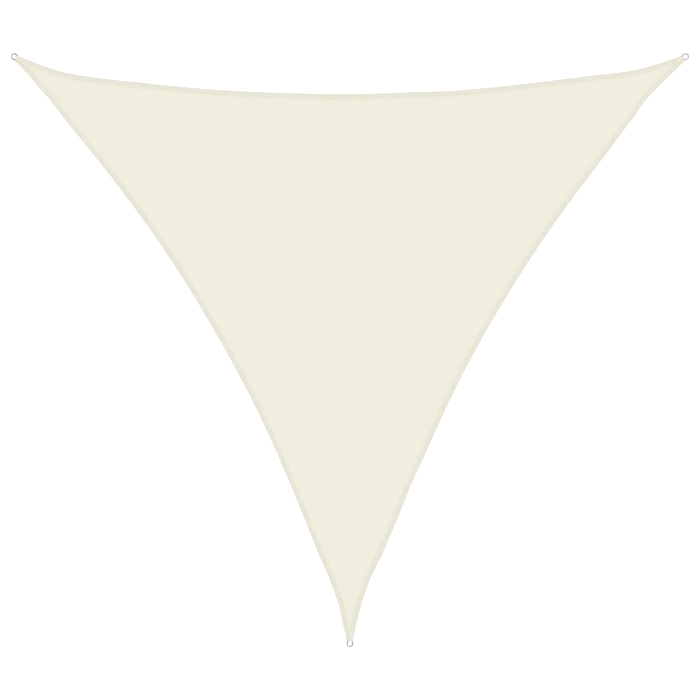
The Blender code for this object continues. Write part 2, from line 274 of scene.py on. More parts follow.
class ShadeSailSizes(bpy.types.PropertyGroup):
    """Sizes of the sail's own pieces."""

    cloth_thick: size("Cloth thickness", "Thickness of the knitted cloth", 1.0 * MM)
    hem_width: size("Hem width", "Width of the folded-over hem", 30 * MM)
    hem_gap: size("Hem gap", "Air between the two layers of the hem", 0.2 * MM)
    outer_row: size("Outer stitch row", "First row of stitches, from the fold", 9 * MM)
    inner_row: size("Inner stitch row", "Second row of stitches, from the fold", 22 * MM)
    stitch: size("Stitch length", "Length of one stitch of the hem", 3.9 * MM)
    stitch_pitch: size("Stitch pitch", "From one stitch to the next", 5.0 * MM)
    thread: size("Thread thickness", "Diameter of the sewing thread", 0.9 * MM)
    web_width: size("Webbing width", "Width of the corner webbing", 20 * MM)
    web_thick: size("Webbing thickness", "Thickness of the corner webbing", 1.2 * MM)
    web_rib: size("Webbing rib pitch", "From one rib of the webbing to the next", 2.0 * MM)
    wire: size("Ring wire", "Diameter of the D-rings' steel wire", 5 * MM)
    ring_width: size("Ring width", "Outside width of a D-ring", 34 * MM)
    ring_length: size("Ring length", "Outside length of a D-ring", 34 * MM)


class ShadeSailColours(bpy.types.PropertyGroup):
    """Colours of the sail's own finishes."""

    panel: colour("Panel", "Single layer of cloth", (0.866, 0.834, 0.738))
    inside_hem: colour("Beside the hem", "Panel next to the hem", (0.870, 0.841, 0.717))
    hem: colour("Hem", "Two layers of cloth", (0.817, 0.796, 0.666))
    # Painted shade of the hem's rounded fold: its outer band is coloured darker and greyer than the
    # hem
    fold: colour("Fold", "Outermost part of the hem", (0.796, 0.784, 0.701))
    thread: colour("Thread", "Sewing thread", (0.84, 0.82, 0.72))
    webbing: colour("Webbing", "Corner webbing", (0.86, 0.848, 0.785))
    steel: colour("Steel", "Stainless wire of the rings", (0.36, 0.36, 0.355))


class ShadeSailStage(bpy.types.PropertyGroup):
    """Camera, light and floor."""

    camera_height: size("Camera height", "Height of the camera above the sail", 8.777)
    lens: FloatProperty(name="Lens", description="Focal length", default=85, min=10, unit="CAMERA")
    sky: amount("Sky", "Soft light from above", 0.896)
    low_sky: amount("Low sky", "Light from low in the sky, as a share", 0.46)
    lamp: amount("Lamp", "Light from the side", 1.0)
    lamp_tilt: angle("Lamp tilt", "Angle of the lamp from straight above", 30)
    lamp_turn: angle("Lamp turn", "Side from which the lamp shines", 125)
    lamp_softness: angle("Lamp softness", "How wide the lamp looks from the sail", 45)
    floor_size: size("Floor size", "Width of the floor", 300)
    floor_drop: size("Floor drop", "How far the floor lies under the sail", 0.4 * MM)
    floor: colour("Floor", "Plain pale floor", (0.9, 0.9, 0.9))
    floor_glow: amount("Floor glow", "Keeps the floor white in the picture", 0.2)


def sizes():
    return bpy.context.scene.shade_sail_sizes


def colours():
    return bpy.context.scene.shade_sail_colours


# ------------------------------ directions and lines


def unit(vectors):
    """Vectors of length 1, for one vector or a row of them."""
    return vectors / np.linalg.norm(vectors, axis=-1, keepdims=True)


def left_of(vectors):
    """Flat vectors turned a quarter to the left."""
    return np.stack((-vectors[..., 1], vectors[..., 0]), axis=-1)


def direction(degrees):
    """Flat unit vector at an angle from +X."""
    turned = math.radians(degrees)
    return np.array((math.cos(turned), math.sin(turned)))


def smooth_step(value, low, high):
    """0 below low, 1 above high, and a soft slope between them."""
    t = np.clip((value - low) / (high - low), 0, 1)
    return t * t * (3 - 2 * t)


def arc(centre, radius, start, end, steps):
    """Points along an arc, angles in radians, both ends included."""
    angles = np.linspace(start, end, steps + 1)
    return np.column_stack((centre[0] + radius * np.cos(angles), centre[1] + radius * np.sin(angles)))


def step_lengths(line):
    """How far each point of a line is from the one before it."""
    return np.linalg.norm(np.diff(line, axis=0), axis=1)


def run_along(line):
    """How far along a line each of its points is."""
    return np.concatenate(([0], np.cumsum(step_lengths(line))))


def even_places(line, pitch):
    """Points spaced evenly along a line of points, each with its direction."""
    run = run_along(line)
    at = np.arange(pitch / 2, run[-1], pitch)
    places = np.column_stack([np.interp(at, run, values) for values in line.T])
    index = np.clip(np.searchsorted(run, at) - 1, 0, len(line) - 2)
    return places, unit(line[index + 1] - line[index])


# ------------------------------ corners and edges


def round_end_centre(corner):
    """Centre of the round end of the corner's ring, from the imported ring's own box."""
    low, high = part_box("ring_" + corner.name)
    outer = sizes().ring_width / 2
    across = {-1: low.x + outer, 0: (low.x + high.x) / 2, 1: high.x - outer}
    along = {-1: low.y + outer, 1: high.y - outer}
    return np.array((across[corner.side_x], along[corner.side_y]))


def edges_meet(corner):
    """Point where the corner's two edges would meet if the tip weren't blunt."""
    return round_end_centre(corner) + np.array((corner.tip_x_mm, corner.tip_y_mm)) * MM


def along_corner(corner, distance):
    """Point on the corner's centre line, at a distance from its ring's outer end."""
    from_centre = distance - sizes().ring_width / 2
    return round_end_centre(corner) + direction(corner.heading) * from_centre


def in_corner(corner, places):
    """How far places are from the ring's outer end, and how far beside the centre line."""
    away = places - along_corner(corner, 0)
    ahead = direction(corner.heading)
    return away @ ahead, away @ left_of(ahead)


def bar_distance():
    """From a ring's outer end to the middle of its bar."""
    return sizes().ring_length - sizes().wire / 2


def read_drift(rows, shares):
    """Read a drift table at many shares, with a smooth curve through its rows."""
    at, inward = np.array(rows, float).T
    slope = np.gradient(inward, at)
    slope[1:-1] = (inward[2:] - inward[:-2]) / (at[2:] - at[:-2])
    low = np.clip(np.searchsorted(at, shares) - 1, 0, len(at) - 2)
    width = at[low + 1] - at[low]
    t = (shares - at[low]) / width
    return (
        (2 * t**3 - 3 * t**2 + 1) * inward[low]
        + (t**3 - 2 * t**2 + t) * width * slope[low]
        + (3 * t**2 - 2 * t**3) * inward[low + 1]
        + (t**3 - t**2) * width * slope[low + 1]
    )


def share_in_tip(test, end):
    """Share where test turns true, searched in the tip at an edge's start (0) or end (1)."""
    outer, inner = end, abs(end - TIP_SHARE)
    for _ in range(SEARCH_STEPS):
        middle = (outer + inner) / 2
        if test(middle):
            inner = middle
        else:
            outer = middle
    return inner


class Border:
    """One edge of the sail: its curve, and where its hem starts and ends."""

    def __init__(self, edge):
        self.edge = edge
        self.name = edge.name
        self.corners = [CORNERS[edge.start], CORNERS[edge.end]]
        self.ends = [edges_meet(corner) for corner in self.corners]
        self.mouths = [
            share_in_tip(lambda share: self.in_cloth(share, corner), end)
            for end, corner in enumerate(self.corners)
        ]
        self.lookup = KDTree(EDGE_SAMPLES)
        for index, (x, y) in enumerate(self.point(np.linspace(0, 1, EDGE_SAMPLES))):
            self.lookup.insert((x, y, 0), index)
        self.lookup.balance()

    def point(self, shares):
        """Points on the edge, at shares of the straight line between its ends."""
        shares = np.asarray(shares, float)
        along = self.ends[1] - self.ends[0]
        inward = unit(left_of(along))
        fair = 4 * self.edge.sag_mm * shares * (1 - shares)
        inset = (fair + read_drift(self.edge.drift, shares)) * MM
        return self.ends[0] + shares[..., None] * along + inset[..., None] * inward

    def square_in(self, shares):
        """Directions into the cloth, square to the edge."""
        shares = np.asarray(shares, float)
        high = np.minimum(shares + SLOPE_SHARE, 1)
        low = np.maximum(shares - SLOPE_SHARE, 0)
        return left_of(unit(self.point(high) - self.point(low)))

    def in_cloth(self, share, corner):
        """Whether the edge has reached the cloth of a corner's tip."""
        return in_corner(corner, self.point(share))[0] > corner.mouth_mm * MM

    def distance(self, places):
        """Distances from places to the edge, and the shares of its nearest points."""
        found = [self.lookup.find((x, y, 0)) for x, y in places]
        shares = np.array([index for _, index, _ in found]) / (EDGE_SAMPLES - 1)
        return np.array([length for _, _, length in found]), shares

    def turns_at(self, distance):
        """Shares where a line at a distance from the edge meets its neighbours' lines."""

        def clear(share, neighbour):
            place = self.point(share) + self.square_in(share) * distance
            return neighbour.distance([place])[0][0] > distance

        return [
            share_in_tip(lambda share: clear(share, neighbour), end)
            for end, neighbour in enumerate(self.neighbours)
        ]

    def join(self, before, after):
        """Take up the edges on both sides, and step along this one between them."""
        self.neighbours = (before, after)
        self.turns = self.turns_at(sizes().hem_width)
        t = np.linspace(0, 1, PANEL_STEPS + 1)
        eased = t - END_CLOSENESS * np.sin(TURN * t) / TURN
        self.middle = self.turns[0] + (self.turns[1] - self.turns[0]) * eased
        self.tips = [np.linspace(*tip, TIP_STEPS + 1) for tip in zip(self.mouths, self.turns)]
        self.shares = np.concatenate((self.tips[0][:-1], self.middle, self.tips[1][-2::-1]))

    def out_of_tip(self, shares, end):
        """0 at the blunt end of a tip, and 1 from where the panel's side starts."""
        span = self.turns[end] - self.mouths[end]
        return np.clip((shares - self.mouths[end]) / span, 0, 1)

    def inward(self, shares):
        """Directions into the cloth: square to the edge, easing to the tip's end."""
        towards = self.square_in(shares)
        for end, corner in enumerate(self.corners):
            sideways = left_of(direction(corner.heading)) * (-1 if end else 1)
            share = self.out_of_tip(shares, end)[..., None]
            towards = unit(towards * share + sideways * (1 - share))
        return towards

    def inset(self, shares, distance):
        """Points at a distance inside the edge, drawn back round a tip's two shoulders."""
        places = self.point(shares) + self.inward(shares) * distance
        back = TIP_ROUND - math.sqrt(TIP_ROUND**2 - max(TIP_ROUND - distance, 0) ** 2)
        for end, corner in enumerate(self.corners):
            near = 1 - self.out_of_tip(shares, end)
            places = places + (back * near**SHOULDER_POWER)[..., None] * direction(corner.heading)
        return places


def make_borders():
    borders = [Border(edge) for edge in EDGES]
    for index, border in enumerate(borders):
        border.join(borders[index - 1], borders[(index + 1) % len(borders)])
    return borders


# ------------------------------ how high the cloth lies


def ridge(places, middle, ahead, shape):
    """Heights of a long soft ridge, by its shape's length, width and height.

    It is highest at its middle and runs out at both ends.
    """
    away = places - middle
    ends = RUN_OUT * (away @ ahead) / shape.length
    sides = FALL_OFF * (away @ left_of(ahead)) / shape.width
    return shape.height_mm * MM * np.exp(-(ends**2)) * np.exp(-(sides**2))


def slack(places, borders):
    """Height of the lying cloth above the ground, from its creases, pulls and waves."""
    height = np.zeros(len(places))
    for crease in CREASES:
        height += ridge(places, np.array((crease.x, crease.y)), direction(crease.heading), crease)
    free = np.ones(len(places))
    for corner in CORNERS.values():
        for pull in PULLS:
            ahead = direction(corner.heading + pull.turn)
            middle = along_corner(corner, 0) + ahead * (pull.start + pull.length / 2)
            height += ridge(places, middle, ahead, pull)
        deep = in_corner(corner, places)[0] - corner.mouth_mm * MM
        free *= smooth_step(deep, FLAT_REACH, FLAT_REACH + FLAT_EASE)
    for number, border in enumerate(borders):
        distance, share = border.distance(places)
        along = share * np.linalg.norm(border.ends[1] - border.ends[0])
        reach = np.exp(-((distance / WAVE_REACH) ** 2))
        for wave in WAVES:
            turns = along / wave.length + wave.start + number / len(borders)
            height += reach * wave.height_mm * MM * (1 + np.sin(TURN * turns)) / 2
    return height * free


def over_tail(places):
    """0 to 1: how fully places are above the webbing that is sewn into a tip."""
    half = sizes().web_width / 2 + GAP
    end = bar_distance() + TAIL_END + GAP
    total = np.zeros(len(places))
    for corner in CORNERS.values():
        along, beside = in_corner(corner, places)
        side = 1 - smooth_step(np.abs(beside), half, half + POCKET_SLOPE)
        total += side * (1 - smooth_step(along, end, end + POCKET_SLOPE))
    return total


def hem_middle(places, borders, number):
    """Height of the middle of one hem's upper layer, without the cloth's own slack.

    It rises over the webbing's tail, and where the hem runs onto one sewn before it.
    """
    thick, gap = sizes().cloth_thick, sizes().hem_gap
    pocket = 2 * sizes().web_thick + 2 * GAP - gap
    lowest = 1.5 * thick + gap
    reach = sizes().hem_width + GAP
    under = np.zeros(len(places))
    for other in borders[:number]:
        under += 1 - smooth_step(other.distance(places)[0], reach, reach + OVERLAP_SLOPE)
    return lowest + pocket * over_tail(places) + (thick + gap / 2) * under


def cloth_top(places, borders):
    """Height of the uppermost cloth at places on the hems."""
    top = np.zeros(len(places))
    for number, border in enumerate(borders):
        on_hem = border.distance(places)[0] < sizes().hem_width
        top = np.maximum(top, np.where(on_hem, hem_middle(places, borders, number), 0))
    return top + sizes().cloth_thick / 2 + slack(places, borders)


# ------------------------------ meshes and pieces


def rows_of_points(x, y, z):
    """Points, row by row, from arrays of rows by columns or of one row or column."""
    return np.stack(np.broadcast_arrays(x, y, z), axis=-1).reshape(-1, 3)


def tube_faces(rows, around, closed=False):
    """Faces of a tube of rows of points: bent round to its start, or capped at both ends."""
    faces = []
    for row in range(rows if closed else rows - 1):
        start, after = row * around, (row + 1) % rows * around
        for k in range(around):
            beside = (k + 1) % around
            faces.append((start + k, start + beside, after + beside, after + k))
    if not closed:
        faces.append(tuple(range(around))[::-1])
        faces.append(tuple(range((rows - 1) * around, rows * around)))
    return faces


def new_mesh(name, points, faces, weld=0, **layers):
    """A smooth mesh with its faces turned outwards.

    weld: points closer than this are joined.  layers: values that are kept for each point.
    """
    mesh = bpy.data.meshes.new(name)
    mesh.from_pydata(points.tolist(), [], faces)
    for label, values in layers.items():
        layer = mesh.attributes.new(label, "FLOAT", "POINT")
        layer.data.foreach_set("value", values.astype(np.float32))
    bm = bmesh.new()
    bm.from_mesh(mesh)
    if weld:
        bmesh.ops.remove_doubles(bm, verts=bm.verts, dist=weld)
    bmesh.ops.recalc_face_normals(bm, faces=bm.faces)
    bm.to_mesh(mesh)
    bm.free()
    mesh.shade_smooth()
    return mesh


def new_piece(mesh):
    """A piece of the sail, riding on the part's one body."""
    piece = bpy.data.objects.new(mesh.name, mesh)
    bpy.context.scene.collection.objects.link(piece)
    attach(piece, BODY)
    return piece


# ------------------------------ the cloth


class Sheet:
    """Middle surface of the cloth, gathered patch by patch and then joined."""

    def __init__(self):
        self.patches = []  # columns: x, y, height, distance from the fold, and 1 on the hems
        self.faces = []
        self.count = 0

    def add(self, places, heights, from_edge, folded):
        """Add points, and give the number of the first one."""
        first, total = self.count, len(places)
        values = [np.broadcast_to(column, total) for column in (heights, from_edge, folded)]
        self.patches.append(np.column_stack((places, *values)))
        self.count += total
        return first

    def grid(self, rows, heights, from_edge):
        """Add rows of a hem's points with faces between them; arrays are rows by columns."""
        many, wide = rows.shape[:2]
        values = [np.broadcast_to(array, (many, wide)).reshape(-1) for array in (heights, from_edge)]
        first = self.add(rows.reshape(-1, 2), *values, folded=1.0)
        for row in range(many - 1):
            start = first + row * wide
            for corner in range(start, start + wide - 1):
                self.faces.append((corner, corner + 1, corner + wide + 1, corner + wide))

    def mesh(self, name, borders):
        """Join the patches along their shared edges, lifted by the cloth's slack."""
        x, y, height, from_edge, folded = np.concatenate(self.patches).T
        points = np.column_stack((x, y, height + slack(np.column_stack((x, y)), borders)))
        return new_mesh(name, points, self.faces, WELD, from_edge=from_edge, folded=folded)


def add_panel(sheet, borders):
    """The single layer between the hems, spread evenly between its three curved sides.

    Each point is a blend of the sides' points by its shares of the three corners.
    """
    sides = [border.inset(border.middle, sizes().hem_width) for border in borders]
    top, left, right = sides
    steps = PANEL_STEPS
    counts = [
        (steps - row, row - place, place) for row in range(steps + 1) for place in range(row + 1)
    ]
    a, b, c = np.array(counts).T
    wa, wb, wc = (share[:, None] / steps for share in (a, b, c))
    places = (
        wa * (top[b] + right[steps - c] - top[0])
        + wb * (left[c] + top[steps - a] - left[0])
        + wc * (right[a] + left[steps - b] - right[0])
    )
    for far, side, near in ((c, top, b), (a, left, c), (b, right, a)):
        places[far == 0] = side[near[far == 0]]  # exactly on the side, to be joined there
    nearest = np.min([border.distance(places)[0] for border in borders], axis=0)
    first = sheet.add(places, sizes().cloth_thick / 2, nearest, folded=0.0)
    for row in range(steps):
        start, below = first + row * (row + 1) // 2, first + (row + 1) * (row + 2) // 2
        for place in range(row + 1):
            sheet.faces.append((start + place, below + place, below + place + 1))
            if place < row:
                sheet.faces.append((start + place, below + place + 1, start + place + 1))


def fold_radius():
    """Radius of the fold's middle surface."""
    return (sizes().cloth_thick + sizes().hem_gap) / 2


def add_base_strip(sheet, border):
    """The lower layer under one hem, from the panel out to the fold."""
    edge_in = fold_radius() + sizes().cloth_thick / 2
    insets = np.linspace(sizes().hem_width, edge_in, HALF_STEPS + 1)
    rows = np.stack([border.inset(border.middle, inset) for inset in insets])
    sheet.grid(rows, sizes().cloth_thick / 2, insets[:, None])


def add_base_tip(sheet, corner, before, after):
    """The lower layer of one tip, from the blunt end to the panel's corner."""
    edge_in = fold_radius() + sizes().cloth_thick / 2
    sides = [before.inset(before.tips[1], edge_in), after.inset(after.tips[0], edge_in)]
    panel_corner = after.inset(after.turns[0], sizes().hem_width)
    mouth_middle = (sides[0][0] + sides[1][0]) / 2 - direction(corner.heading) * TIP_BULGE
    along = np.linspace(0, 1, TIP_STEPS + 1)[:, None]
    spine = mouth_middle * (1 - along) + panel_corner * along
    across = np.linspace(0, 1, HALF_STEPS + 1)[None, :, None]
    for side in sides:
        rows = side[:, None] * (1 - across) + spine[:, None] * across
        sheet.grid(rows, sizes().cloth_thick / 2, sizes().hem_width / 2)


def add_hem(sheet, borders, number):
    """The fold along one edge and the hem's upper layer, from tip to tip."""
    border = borders[number]
    half = sizes().cloth_thick / 2
    angles = np.linspace(0, math.pi, FOLD_STEPS + 1)
    insets = list(half + fold_radius() * (1 - np.sin(angles)))
    insets += [place * MM for place in HEM_PLACES_MM] + [sizes().hem_width]
    rows = np.stack([border.inset(border.shares, inset) for inset in insets])
    heights = []
    for index, (row, inset) in enumerate(zip(rows, insets)):
        height = hem_middle(row, borders, number)
        if index <= FOLD_STEPS:  # round the fold, from the lower layer to the upper one
            height = half + (height - half) * (1 - math.cos(angles[index])) / 2
        for stitched in (sizes().outer_row, sizes().inner_row):
            height = height - GROOVE * math.exp(-(((inset - stitched) / GROOVE_WIDTH) ** 2))
        heights.append(height)
    sheet.grid(rows, np.stack(heights), np.array(insets)[:, None])


def make_cloth(borders):
    """The whole cloth as one thin sheet."""
    sheet = Sheet()
    add_panel(sheet, borders)
    for number, border in enumerate(borders):
        add_base_strip(sheet, border)
        add_base_tip(sheet, border.corners[0], borders[number - 1], border)
        add_hem(sheet, borders, number)
    cloth = new_piece(sheet.mesh(CLOTH, borders))
    solid = cloth.modifiers.new("thickness", "SOLIDIFY")
    solid.thickness = sizes().cloth_thick
    solid.offset = 0
    return cloth


def cut_area(borders):
    """Area of the flat cut: the hemmed sail and the three hems turned out again."""
    sides = [border.point(border.shares) for border in borders]
    x, y = np.concatenate(sides).T
    hemmed = abs(np.dot(x, np.roll(y, -1)) - np.dot(y, np.roll(x, -1))) / 2
    return hemmed + sum(step_lengths(side).sum() for side in sides) * sizes().hem_width


# ------------------------------ sewing


def stitch_form(length):
    """Points of one stitch: a short thread that dives at both ends."""
    thick = sizes().thread
    t = np.linspace(-1, 1, STITCH_SECTIONS)[:, None]
    angles = TURN * (np.arange(STITCH_SIDES) + 0.5) / STITCH_SIDES
    rise = thick * (STITCH_RISE - STITCH_DIVE * t**STITCH_POWER)
    radius = thick / 2 * (1 - STITCH_TAPER * t**STITCH_POWER)
    return rows_of_points(t * length / 2, radius * np.sin(angles), rise + radius * np.cos(angles))


def sew(name, lines, borders, share, seed):
    """Stitches along flat lines, lying on the uppermost cloth, as one mesh.

    share: their length, as a share of the hem's stitches.
    """
    length = sizes().stitch * share
    form = stitch_form(length)
    found = [even_places(line, sizes().stitch_pitch * share) for line in lines]
    middles, ahead = (np.concatenate(column) for column in zip(*found))
    chance = np.random.default_rng(seed)
    skew = chance.normal(0, STITCH_SKEW, len(middles))[:, None]
    ahead = ahead * np.cos(skew) + left_of(ahead) * np.sin(skew)
    back, front = (cloth_top(middles + ahead * reach, borders) for reach in (-length / 2, length / 2))
    slope = (front - back) / length
    x, y, z = form.T
    flat = middles[:, None] + x[:, None] * ahead[:, None] + y[:, None] * left_of(ahead)[:, None]
    height = cloth_top(middles, borders)[:, None] + z + x * slope[:, None] - GROOVE / 2
    faces = [
        tuple(corner + start for corner in face)
        for start in range(0, height.size, len(form))
        for face in tube_faces(STITCH_SECTIONS, STITCH_SIDES)
    ]
    tone = np.repeat(chance.uniform(0, 1, len(middles)), len(form))
    points = rows_of_points(flat[..., 0], flat[..., 1], height)
    return new_piece(new_mesh(name, points, faces, tone=tone))


def box_reach(corner):
    """Where the box of stitches in a tip starts and ends, from the ring's outer end."""
    return corner.mouth_mm * MM + BOX_MARGIN, bar_distance() + TAIL_END - BOX_MARGIN


def hem_rows(border):
    """Lines of the two rows of stitches of one hem, between the boxes in its tips.

    The inner row turns where it meets the next hem's inner row.
    """
    rows = []
    for inset in (sizes().outer_row, sizes().inner_row):
        line = border.inset(np.linspace(*border.turns_at(inset), EDGE_SAMPLES), inset)
        for corner in border.corners:
            clear = in_corner(corner, line)[0] > box_reach(corner)[1] + BOX_MARGIN / 2
            line = line[clear]
        rows.append(line)
    return rows


def corner_rows(corner):
    """Lines that hold the webbing in a tip: a box with a cross in it."""
    half = sizes().web_width / 2 - BOX_SIDE
    start, end = box_reach(corner)
    ahead, zero = direction(corner.heading), along_corner(corner, 0)
    box = np.array([
        zero + ahead * along + left_of(ahead) * side
        for along, side in ((start, -half), (end, -half), (end, half), (start, half), (start, -half))
    ])
    return [box[k : k + 2] for k in range(4)] + [box[[0, 2]], box[[1, 3]]]


# ------------------------------ webbing and rings


def bar_height():
    """Height of the bar: the webbing under it lies on the ground."""
    return sizes().wire / 2 + GAP + sizes().web_thick


def bar_place(corner):
    """Matrix that puts the middle of a ring's bar in its place, X into the cloth."""
    x, y = along_corner(corner, bar_distance())
    turn = Matrix.Rotation(math.radians(corner.heading), 4, "Z")
    return Matrix.Translation((x, y, bar_height())) @ turn


def side_route():
    """Side view of the webbing's middle: along its tail, round the bar and back."""
    radius = sizes().wire / 2 + GAP + sizes().web_thick / 2
    tail = sizes().cloth_thick + GAP + sizes().web_thick - bar_height()
    upper, lower = tail + sizes().web_thick / 2, tail - sizes().web_thick / 2

    def touch(height, side):
        """Angle at which a leg, running straight from where both are sewn, meets the bar."""
        spread = math.acos(radius / math.hypot(WEB_JOIN, height))
        return math.atan2(height, WEB_JOIN) + side * spread

    eye = arc((0, 0), radius, touch(upper, 1), touch(lower, -1) + TURN, EYE_STEPS)
    corners = np.concatenate(
        ([(TAIL_END, upper), (WEB_JOIN, upper)], eye, [(WEB_JOIN, lower), (TAIL_END, lower)])
    )
    line, _ = even_places(corners, WEB_STEP)
    for _ in range(WEB_SOFTENINGS):
        line[1:-1] = (line[:-2] + 2 * line[1:-1] + line[2:]) / 4
    return line


def make_webbing(corner):
    """One loop of ribbed webbing, folded round the bar and doubled in the tip."""
    line = side_route()
    out = left_of(unit(np.gradient(line, axis=0)))
    run = run_along(line)[:, None]
    # Round the section, over its outer face and back over the inner one
    outer_face = np.sin(np.linspace(-math.pi / 2, math.pi / 2, WEB_POINTS))
    share = np.concatenate((outer_face, outer_face[-2:0:-1]))
    side = np.repeat((1, -1), (WEB_POINTS, WEB_POINTS - 2))
    fullness = np.sqrt(np.clip(1 - np.abs(share) ** WEB_SQUARE, 0, 1))
    rib = np.cos(TURN * (run / sizes().web_rib + RIB_SLANT * np.abs(share)))
    swell = side * sizes().web_thick / 2 * fullness * (1 - RIB_DEPTH * (1 - rib))
    x, height = (line[:, axis, None] + out[:, axis, None] * swell for axis in (0, 1))
    points = rows_of_points(x, sizes().web_width / 2 * share, height)
    layers = {"strap_along": np.repeat(run, len(share)), "strap_across": points[:, 1]}
    faces = tube_faces(len(line), len(share))
    mesh = new_mesh("webbing_" + corner.name, points, faces, **layers)
    mesh.transform(bar_place(corner))
    return new_piece(mesh)


def ring_route():
    """Centre line of a D-ring: straight bar at x = 0 and round end at negative x."""
    radius = (sizes().ring_width - sizes().wire) / 2
    centre = radius + sizes().wire / 2 - bar_distance()
    bend = radius - RING_BEND
    quarter = math.pi / 2
    round_end = arc((centre, 0), radius, quarter, 3 * quarter, RING_STEPS)
    right = arc((-RING_BEND, -bend), RING_BEND, -quarter, 0, BEND_STEPS)
    left = arc((-RING_BEND, bend), RING_BEND, 0, quarter, BEND_STEPS)
    return np.concatenate((round_end, right, left))


def make_ring(corner):
    """One D-ring of round steel wire, leaning down from its bar to the ground."""
    route = ring_route()
    beside = left_of(unit(np.roll(route, -1, axis=0) - np.roll(route, 1, axis=0)))
    angles = TURN * np.arange(WIRE_SIDES) / WIRE_SIDES
    radius = sizes().wire / 2
    x, y = (route[:, axis, None] + radius * np.cos(angles) * beside[:, axis, None] for axis in (0, 1))
    points = rows_of_points(x, y, radius * np.sin(angles))
    mesh = new_mesh("d_ring_" + corner.name, points, tube_faces(len(route), WIRE_SIDES, closed=True))
    lean = math.asin((bar_height() - radius) / (bar_distance() - radius))
    mesh.transform(bar_place(corner) @ Matrix.Rotation(-lean, 4, "Y"))
    return new_piece(mesh)


# ------------------------------ finishes


class Value:
    """A socket of a material, on which Python arithmetic adds Math nodes."""

    def __init__(self, tree, socket=None):
        self.tree = tree
        self.socket = socket

    def node(self, kind, settings, inputs, output=0):
        """Add a node: its settings first, then the values or links of its sockets."""
        made = self.tree.nodes.new(kind)
        for name, setting in settings.items():
            setattr(made, name, setting)
        for name, value in inputs.items():
            if isinstance(value, Value):
                self.tree.links.new(value.socket, made.inputs[name])
            else:
                made.inputs[name].default_value = value
        return Value(self.tree, made.outputs[output])

    def math(self, operation, *values):
        return self.node("ShaderNodeMath", {"operation": operation}, dict(enumerate(values)))

    def __add__(self, other):
        return self.math("ADD", self, other)

    def __sub__(self, other):
        return self.math("SUBTRACT", self, other)

    def __mul__(self, other):
        return self.math("MULTIPLY", self, other)

    def __radd__(self, other):
        return self.math("ADD", other, self)

    def __rsub__(self, other):
        return self.math("SUBTRACT", other, self)

    def __rmul__(self, other):
        return self.math("MULTIPLY", other, self)

    def __abs__(self):
        return self.math("ABSOLUTE", self)

    def wave(self, length):
        """A wave from 0 to 1 that repeats over a length."""
        return 0.5 + 0.5 * self.math("COSINE", self * (TURN / length))

    def between(self, low, high):
        """0 at low, 1 at high, with a soft slope."""
        settings = {"interpolation_type": "SMOOTHSTEP"}
        inputs = {"Value": self, "From Min": low, "From Max": high}
        return self.node("ShaderNodeMapRange", settings, inputs)

    def mix(self, first, second):
        """A colour between two, by this value: the node's sockets 6 and 7, and its output 2."""
        settings = {"data_type": "RGBA"}
        return self.node("ShaderNodeMix", settings, {0: self, 6: first, 7: second}, 2)

    def shade(self, tone):
        """A colour made lighter or darker by this value."""
        return self.node("ShaderNodeVectorMath", {"operation": "SCALE"}, {0: tone, "Scale": self})

    def bump(self, strength, depth, under=None):
        """A surface raised by this value, over another bump if one is given."""
        inputs = {"Strength": strength, "Distance": depth, "Height": self}
        if under:
            inputs["Normal"] = under
        return self.node("ShaderNodeBump", {}, inputs)


def rgba(three):
    return (*three, 1)


def new_finish(name, constants):
    """A material, the start of its expressions, and its shader with its fixed values."""
    material = bpy.data.materials.new(name)
    material.use_nodes = True
    shader = material.node_tree.nodes["Principled BSDF"]
    for socket, value in constants.items():
        shader.inputs[socket].default_value = value
    return material, Value(material.node_tree), shader


def feed(value, shader, socket):
    value.tree.links.new(value.socket, shader.inputs[socket])


def place_on_piece(start):
    """Coordinates of a piece's own points, in metres."""
    return start.node("ShaderNodeTexCoord", {}, {}, "Object")


def noise(place, across, detail):
    """Soft random values from 0 to 1 in spots of a size, the same each time."""
    inputs = {"Vector": place, "Scale": 1 / across, "Detail": detail}
    return place.node("ShaderNodeTexNoise", {}, inputs)


def attribute(start, name):
    """A value that a mesh keeps for each of its points."""
    settings = {"attribute_type": "GEOMETRY", "attribute_name": name}
    return start.node("ShaderNodeAttribute", settings, {}, "Fac")


